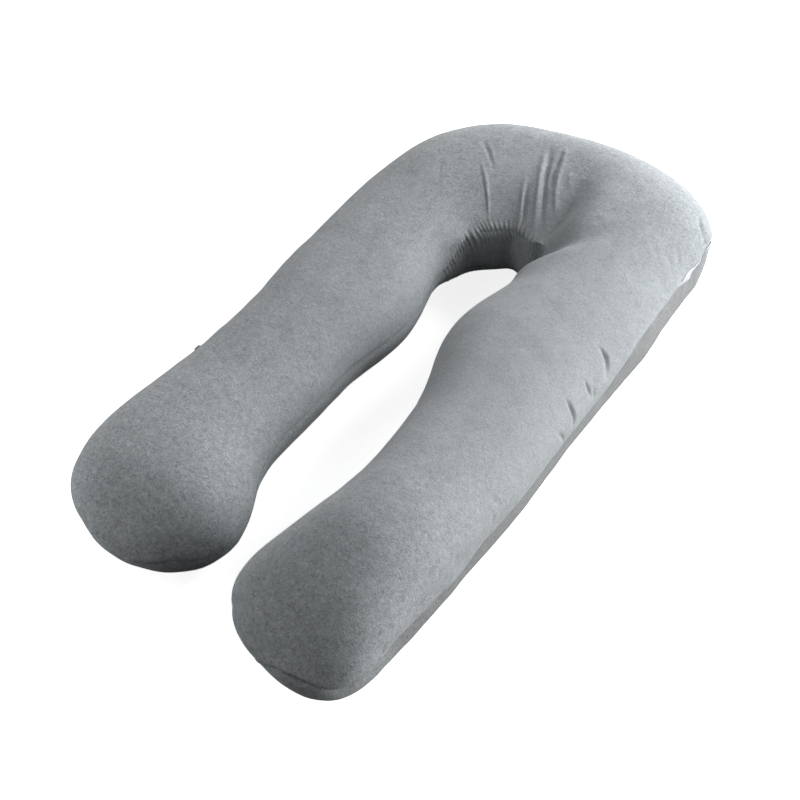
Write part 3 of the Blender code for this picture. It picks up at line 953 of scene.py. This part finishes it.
def withSurface(material, values, links=None):   # the shader that every finish ends in
    tree = material.node_tree
    shader = addNode(tree, "ShaderNodeBsdfPrincipled", values=values, links=links)
    addNode(tree, "ShaderNodeOutputMaterial", links={"Surface": shader.outputs["BSDF"]})
    return material


jerseyLook = {
    "upper": ("#83888c", "#a2a7aa", "#bfc4c7"),   # dark, middle and light yarn of the jersey
    "lower": ("#6e7071", "#8b8d8e", "#a1a3a4"),   # painted shade: the same yarn drawn darker and less blue below the right arm's seam, for the shade that falls there
    "paintedShadeReach": (1.46, 2.42),  # between these places along the pillow
    "paintedShadeEase": (0.04, 0.10),
    "patch": 0.0110,             # melange shades in slow patches
    "fleck": 0.0040,             # real flecks are 1 mm across; drawn coarser so that they show
    "curl": 1.3,                 # the fibres' ends curl
    "stretch": 1.15,             # flecks lie along the knitted rows
    "patchShare": 0.25,
    "patchDetail": 2.0,
    "patchCurl": 0.3,
    "fleckDetail": 3.0,
    "grainRoughness": 0.6,
    "rampEnds": (0.36, 0.64),    # the noise from darkest to lightest yarn
    "calmPlace": (0.24, 0.05, 0.20),   # the flecks show least here, on the smooth right arm
    "calmShare": 0.38,
    "calmReach": (0.20, 0.80),
    "roughness": 0.95,
    "sheen": 0.15,
    "sheenRoughness": 0.5,
    "specular": 0.2,
    "knitPitch": 0.0022,         # real stitches are 0.8 mm; drawn coarser so that they show
    "knitHeight": 0.00025,
    "knitStrength": 0.5,
    "knitUneven": 0.55,
    "fuzzHeight": 0.0013,
}


def makeJersey():   # cotton jersey knitted from melange yarn: matt, faintly fuzzy, flecked in two greys
    look = jerseyLook
    material, tree = startMaterial("melange_cotton_jersey")
    place = addNode(tree, "ShaderNodeTexCoord")
    grain = addNode(
        tree, "ShaderNodeMapping",
        values={"Scale": (1 / look["stretch"], 1.0, 1.0)},
        links={"Vector": place.outputs["Object"]},
    )
    patches = addNode(
        tree, "ShaderNodeTexNoise",
        values={
            "Scale": 1 / look["patch"],
            "Detail": look["patchDetail"],
            "Roughness": look["grainRoughness"],
            "Distortion": look["patchCurl"],
        },
        links={"Vector": grain.outputs["Vector"]},
    )
    flecks = addNode(
        tree, "ShaderNodeTexNoise",
        values={
            "Scale": 1 / look["fleck"],
            "Detail": look["fleckDetail"],
            "Roughness": look["grainRoughness"],
            "Distortion": look["curl"],
        },
        links={"Vector": grain.outputs["Vector"]},
    )
    mixed = addNode(
        tree, "ShaderNodeMix", {"data_type": "FLOAT"}, {0: look["patchShare"]},
        {2: flecks.outputs["Fac"], 3: patches.outputs["Fac"]},
    )
    away = addNode(
        tree, "ShaderNodeVectorMath", {"operation": "DISTANCE"}, {1: look["calmPlace"]},
        {0: place.outputs["Object"]},
    )
    near, far = look["calmReach"]
    strength = addNode(
        tree, "ShaderNodeMapRange",
        values={"From Min": near, "From Max": far, "To Min": look["calmShare"]},
        links={"Value": away.outputs["Value"]},
    )
    calmed = addNode(
        tree, "ShaderNodeMix", {"data_type": "FLOAT"}, {2: 0.5},
        {0: strength.outputs["Result"], 3: mixed.outputs[0]},
    )
    # painted shade: below the right arm's seam the darker tones stand in for the shade there
    paintedShadeMask = addNode(tree, "ShaderNodeAttribute", {"attribute_name": "painted_shade_below_seam"})
    shade = addNode(tree, "ShaderNodeMix", {"data_type": "RGBA"}, links={0: paintedShadeMask.outputs["Fac"]})
    for socket, tones in ((6, look["upper"]), (7, look["lower"])):
        ramp = addNode(tree, "ShaderNodeValToRGB", links={"Fac": calmed.outputs[0]})
        darkest, lightest = ramp.color_ramp.elements
        darkest.position, lightest.position = look["rampEnds"]
        darkest.color, lightest.color = linearColour(tones[0]), linearColour(tones[2])
        ramp.color_ramp.elements.new(0.5).color = linearColour(tones[1])
        tree.links.new(ramp.outputs["Color"], shade.inputs[socket])
    knit = addNode(
        tree, "ShaderNodeTexVoronoi", {"feature": "F1"},
        {"Scale": 1 / look["knitPitch"], "Randomness": look["knitUneven"]},
        {"Vector": grain.outputs["Vector"]},
    )
    fuzz = addNode(
        tree, "ShaderNodeBump",
        values={"Strength": 1.0, "Distance": look["fuzzHeight"]},
        links={"Height": mixed.outputs[0]},
    )
    stitches = addNode(
        tree, "ShaderNodeBump",
        values={"Strength": look["knitStrength"], "Distance": look["knitHeight"]},
        links={"Height": knit.outputs["Distance"], "Normal": fuzz.outputs["Normal"]},
    )
    return withSurface(
        material,
        {
            "Roughness": look["roughness"],
            "Sheen Weight": look["sheen"],
            "Sheen Roughness": look["sheenRoughness"],
            "Specular IOR Level": look["specular"],
        },
        {"Base Color": shade.outputs[2], "Normal": stitches.outputs["Normal"]},
    )


zipLook = {
    "tape": "#dfe3ea",
    "tapeRoughness": 0.75,
    "coil": "#e6e9ee",
    "coilRoughness": 0.35,
    "weavePitch": 0.0012,        # the tape's ribs
    "weaveHeight": 0.0001,
    "weaveStrength": 0.6,
    "weaveUneven": 0.1,
}


def makeTape():   # woven polyester zip tape: white, faint cross ribs
    material, tree = startMaterial("white_polyester_zip_tape")
    place = addNode(tree, "ShaderNodeTexCoord")
    weave = addNode(
        tree, "ShaderNodeTexVoronoi", {"feature": "F1"},
        {"Scale": 1 / zipLook["weavePitch"], "Randomness": zipLook["weaveUneven"]},
        {"Vector": place.outputs["Object"]},
    )
    bump = addNode(
        tree, "ShaderNodeBump",
        values={"Strength": zipLook["weaveStrength"], "Distance": zipLook["weaveHeight"]},
        links={"Height": weave.outputs["Distance"]},
    )
    return withSurface(
        material,
        {"Base Color": linearColour(zipLook["tape"]), "Roughness": zipLook["tapeRoughness"]},
        {"Normal": bump.outputs["Normal"]},
    )


labelLook = {
    "dark": "#6a6866",
    "light": "#b9b6b2",
    "fleck": 0.0024,
    "fleckDetail": 1.0,
    "rampEnds": (0.52, 0.60),
    "roughness": 0.8,
}


def makeLabelTape():   # woven label tape: dark grey with pale threads that come up here and there
    material, tree = startMaterial("woven_label_tape")
    place = addNode(tree, "ShaderNodeTexCoord")
    threads = addNode(
        tree, "ShaderNodeTexNoise",
        values={"Scale": 1 / labelLook["fleck"], "Detail": labelLook["fleckDetail"]},
        links={"Vector": place.outputs["Object"]},
    )
    ramp = addNode(tree, "ShaderNodeValToRGB", links={"Fac": threads.outputs["Fac"]})
    dark, light = ramp.color_ramp.elements
    dark.position, light.position = labelLook["rampEnds"]
    dark.color, light.color = linearColour(labelLook["dark"]), linearColour(labelLook["light"])
    return withSurface(
        material, {"Roughness": labelLook["roughness"]}, {"Base Color": ramp.outputs["Color"]},
    )


def makeFlat(name, hexText, roughness):   # one plain colour: moulded nylon, or matt paper
    material, _ = startMaterial(name)
    return withSurface(material, {"Base Color": linearColour(hexText), "Roughness": roughness})


# Camera, floor and light

cameraPlace = {
    "azimuth": 39.2,
    "elevation": 50.27,
    "distance": 2.0191,
    "target": (0.0435, -0.0983, 0.080),
    "roll": -3.47,
    "lens": 50.87,               # millimetres, on a sensor this wide
    "sensor": 36.0,
}


def directionTo(azimuth, elevation):   # in degrees, round from +X and up
    azimuth, elevation = math.radians(azimuth), math.radians(elevation)
    level = math.cos(elevation)
    return Vector((math.cos(azimuth) * level, math.sin(azimuth) * level, math.sin(elevation)))


def placeCamera():
    roll = math.radians(cameraPlace["roll"])
    back = directionTo(cameraPlace["azimuth"] - 90, cameraPlace["elevation"])   # it stands towards -Y
    right = (-back).cross(Vector((0, 0, 1))).normalized()
    up = right.cross(-back)
    turnedRight = right * math.cos(roll) + up * math.sin(roll)
    turnedUp = up * math.cos(roll) - right * math.sin(roll)
    camera = bpy.data.objects.new("camera", bpy.data.cameras.new("camera"))
    camera.data.lens = cameraPlace["lens"]
    camera.data.sensor_width = cameraPlace["sensor"]
    place = Vector(cameraPlace["target"]) + back * cameraPlace["distance"]
    camera.matrix_world = Matrix((
        (turnedRight.x, turnedUp.x, back.x, place.x),
        (turnedRight.y, turnedUp.y, back.y, place.y),
        (turnedRight.z, turnedUp.z, back.z, place.z),
        (0, 0, 0, 1),
    ))
    bpy.context.scene.collection.objects.link(camera)
    bpy.context.scene.camera = camera


studio = {
    "lamps": [
        # name, degrees round from +X, degrees up, distance, size, watts
        ("window_back_right", 60, 28, 2.6, 1.2, 51.0),
        ("window_right", 30, 28, 2.6, 1.2, 9.4),
        ("low_right_back", 30, 8, 2.6, 1.2, 29.0),
        ("low_back_right", 60, 8, 2.6, 1.2, 17.0),
        ("low_back", 90, 8, 2.6, 1.2, 10.0),
        ("low_back_left", 120, 8, 2.6, 1.2, 34.0),
        ("low_right", 0, 8, 2.6, 1.2, 6.5),
        ("near_right", 345, 25, 1.5, 1.2, 4.0),
        ("near_left", 225, 35, 1.7, 1.2, 6.2),
        ("ceiling_left", 180, 55, 2.6, 1.2, 5.0),
        ("low_left", 225, 0, 1.7, 0.4, 8.0),
    ],
    "aim": (0.0, 0.0, 0.1),
    "surround": "#ffffff",
    "surroundStrength": 1.0,     # only seen, it lights nothing
    "floor": "#ffffff",
    "floorGlow": 0.84,           # keeps the floor pale where the lamps don't reach
    "floorHalf": 8.0,
    "floorHeight": -0.0005,      # just under the pillow
    "bounce": "#707070",         # what the floor sends back, kept low so that the underside stays dark
    "bounceHeight": -0.0010,
    "paperRoughness": 1.0,
}


def buildStudio():
    aim = Vector(studio["aim"])
    for name, azimuth, elevation, distance, size, watts in studio["lamps"]:
        data = bpy.data.lights.new(name, "AREA")
        data.shape = "SQUARE"
        data.size = size
        data.energy = watts
        lamp = bpy.data.objects.new(name, data)
        direction = directionTo(azimuth, elevation)
        lamp.location = aim + direction * distance
        lamp.rotation_euler = (-direction).to_track_quat("-Z", "Y").to_euler()
        bpy.context.scene.collection.objects.link(lamp)
    world = bpy.data.worlds.new("studio")
    world.use_nodes = True
    background = world.node_tree.nodes["Background"]
    background.inputs["Color"].default_value = linearColour(studio["surround"])
    background.inputs["Strength"].default_value = studio["surroundStrength"]
    world.cycles_visibility.diffuse = world.cycles_visibility.glossy = False
    bpy.context.scene.world = world
    bpy.context.scene.view_settings.view_transform = "Standard"
    floor = flatGround("floor", studio["floorHeight"], makeFloor())
    floor.visible_diffuse = floor.visible_glossy = floor.visible_shadow = False
    dimPaper = makeFlat("dim_floor", studio["bounce"], studio["paperRoughness"])
    dimmer = flatGround("floor_bounce", studio["bounceHeight"], dimPaper)
    dimmer.visible_camera = False


def flatGround(name, height, material):
    half = studio["floorHalf"]
    corners = [(x * half, y * half, height) for x, y in ((-1, -1), (1, -1), (1, 1), (-1, 1))]
    return meshObject(name, corners, [(0, 1, 2, 3)], material, False)


def makeFloor():   # white paper sweep
    material, _ = startMaterial("pale_floor")
    return withSurface(material, {
        "Base Color": linearColour(studio["floor"]),
        "Roughness": studio["paperRoughness"],
        "Specular IOR Level": 0.0,
        "Emission Color": linearColour(studio["floor"]),
        "Emission Strength": studio["floorGlow"],
    })


placeCamera()
buildStudio()
print("camera placed,", len(studio["lamps"]), "lamps lit")

grid = coverShape()
cover = makeCover(grid, makeJersey())
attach(cover, "root")
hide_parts("pillow")
print("cover made", len(cover.data.polygons), "faces")

tape, coilPath, coilOutward = makeZipTape(grid, makeTape())
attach(tape, "root")
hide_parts("zip_tape")
nylon = makeFlat("white_nylon_coil", zipLook["coil"], zipLook["coilRoughness"])
coil = makeCoil(coilPath, coilOutward, nylon)
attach(coil, "root")
print("zip made", len(coil.data.polygons), "coil faces")

label = makeLabel(grid, makeLabelTape())
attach(label, "root")
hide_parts("side_label")
print("label made")
